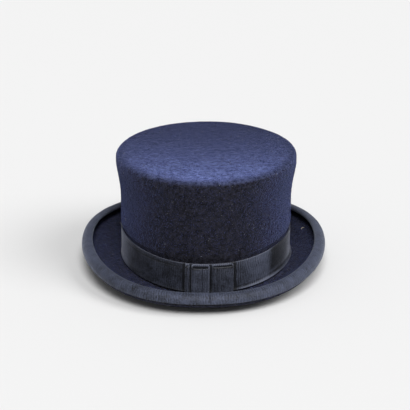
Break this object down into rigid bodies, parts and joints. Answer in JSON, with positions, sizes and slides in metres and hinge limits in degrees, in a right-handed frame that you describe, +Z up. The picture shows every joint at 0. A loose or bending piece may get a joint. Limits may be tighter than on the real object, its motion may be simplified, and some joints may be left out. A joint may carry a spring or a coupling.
{
  "type": "short felt top hat",
  "caption": "Short navy felt top hat: oval bell crown, flat tip, brim rolled up and bound in grosgrain, grosgrain band with a flat bow at the back.",
  "frame": {"origin": "middle of the hat's footprint, on the surface that the hat stands on", "axes": "+Z up, +Y towards the front of the hat as worn, +X to the right seen from behind"},
  "size_m": [0.2428, 0.3108, 0.115],
  "materials": {
    "wool_felt": "matt navy wool felt with a short fuzzy nap",
    "binding_grosgrain": "slate blue ribbed grosgrain ribbon",
    "band_grosgrain": "very dark blue ribbed grosgrain ribbon"
  },
  "bodies": {
    "root": {"felt_body": "wool_felt", "brim_binding": "binding_grosgrain", "hat_band": "band_grosgrain", "bow_loop": "band_grosgrain", "bow_knot": "band_grosgrain", "bow_pleat": "band_grosgrain"}
  },
  "joints": []
}
